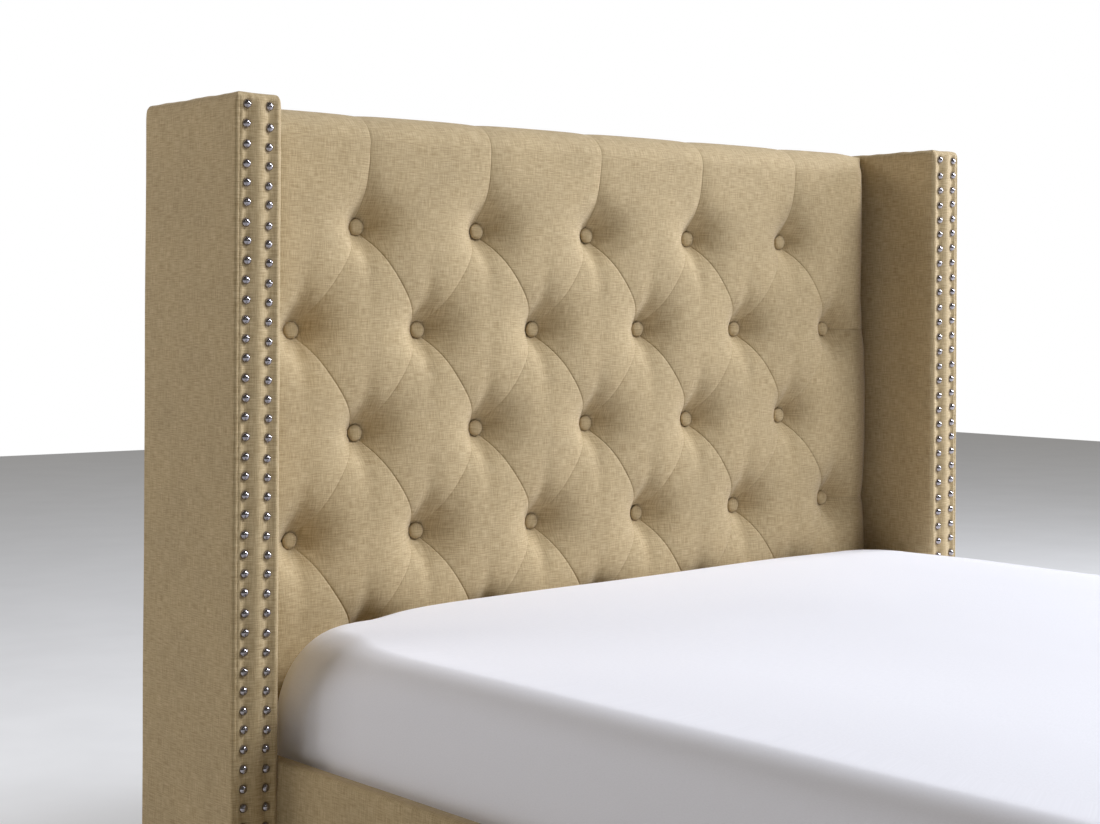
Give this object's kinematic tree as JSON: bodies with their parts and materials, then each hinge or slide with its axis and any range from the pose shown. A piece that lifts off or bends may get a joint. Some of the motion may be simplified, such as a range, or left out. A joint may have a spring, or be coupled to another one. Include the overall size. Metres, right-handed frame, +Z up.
{
  "type": "wingback bed",
  "caption": "Upholstered bed with a diamond-tufted headboard between nailhead-trimmed wings, slatted base, mattress and fitted sheet.",
  "frame": {"origin": "on the floor, at the middle of the bed's length and width", "axes": "+X to the right when standing at the foot end, +Y towards the headboard, +Z up"},
  "size_m": [1.7472, 2.2366, 1.45],
  "materials": {
    "linen": "heathered beige linen weave",
    "linen_buttons": "the same linen pulled over the buttons",
    "dust_cover": "black spun-bonded dust cover",
    "sheet_cotton": "white woven cotton sheet",
    "ticking": "knitted mattress ticking",
    "webbing": "cotton webbing",
    "pewter": "dark pewter nailheads",
    "pine": "planed softwood",
    "plywood": "thin plywood",
    "dark_wood": "dark stained hardwood, satin",
    "black_steel": "black powder coat",
    "zinc_steel": "bright zinc-plated bolts",
    "black_plastic": "moulded black plastic"
  },
  "bodies": {
    "bed": {"headboard_frame": "pine", "headboard_plywood": "plywood", "headboard_lower_cover": "linen", "headboard_back_cover": "dust_cover", "headboard_tufted_pad": "linen", "tuft_buttons": "linen_buttons", "left_wing_cover": "linen", "left_wing_panels": "plywood", "left_wing_frame": "pine", "left_wing_nailheads": "pewter", "left_wing_glides": "black_plastic", "left_wing_bolts": "zinc_steel", "left_rail_core": "pine", "left_rail_cover": "linen", "left_rail_ledger": "pine", "left_rail_head_bracket": "black_steel", "left_rail_foot_bracket": "black_steel", "left_foot_leg": "dark_wood", "right_wing_cover": "linen", "right_wing_panels": "plywood", "right_wing_frame": "pine", "right_wing_nailheads": "pewter", "right_wing_glides": "black_plastic", "right_wing_bolts": "zinc_steel", "right_rail_core": "pine", "right_rail_cover": "linen", "right_rail_ledger": "pine", "right_rail_head_bracket": "black_steel", "right_rail_foot_bracket": "black_steel", "right_foot_leg": "dark_wood", "footboard_core": "pine", "footboard_cover": "linen", "foot_leg_glides": "black_plastic", "rail_bolts": "zinc_steel", "centre_beam": "pine", "centre_beam_head_hanger": "black_steel", "centre_beam_foot_hanger": "black_steel", "centre_leg_1": "pine", "centre_leg_2": "pine", "centre_leg_3": "pine", "slat_01": "pine", "slat_02": "pine", "slat_03": "pine", "slat_04": "pine", "slat_05": "pine", "slat_06": "pine", "slat_07": "pine", "slat_08": "pine", "slat_09": "pine", "slat_10": "pine", "slat_11": "pine", "slat_12": "pine", "slat_13": "pine", "slat_webbing": "webbing"},
    "mattress": {"mattress": "ticking", "fitted_sheet": "sheet_cotton"},
    "leveller_1": {"leveller_1": "black_plastic"},
    "leveller_2": {"leveller_2": "black_plastic"},
    "leveller_3": {"leveller_3": "black_plastic"}
  },
  "joints": [
    {"name": "mattress_lift", "type": "slide", "parent": "bed", "child": "mattress", "axis": [0, 0, 1], "range_m": [0, 1.15]},
    {"name": "leveller_1_screw", "type": "slide", "parent": "bed", "child": "leveller_1", "axis": [0, 0, -1], "range_m": [-0.005, 0.01]},
    {"name": "leveller_2_screw", "type": "slide", "parent": "bed", "child": "leveller_2", "axis": [0, 0, -1], "range_m": [-0.005, 0.01]},
    {"name": "leveller_3_screw", "type": "slide", "parent": "bed", "child": "leveller_3", "axis": [0, 0, -1], "range_m": [-0.005, 0.01]}
  ]
}
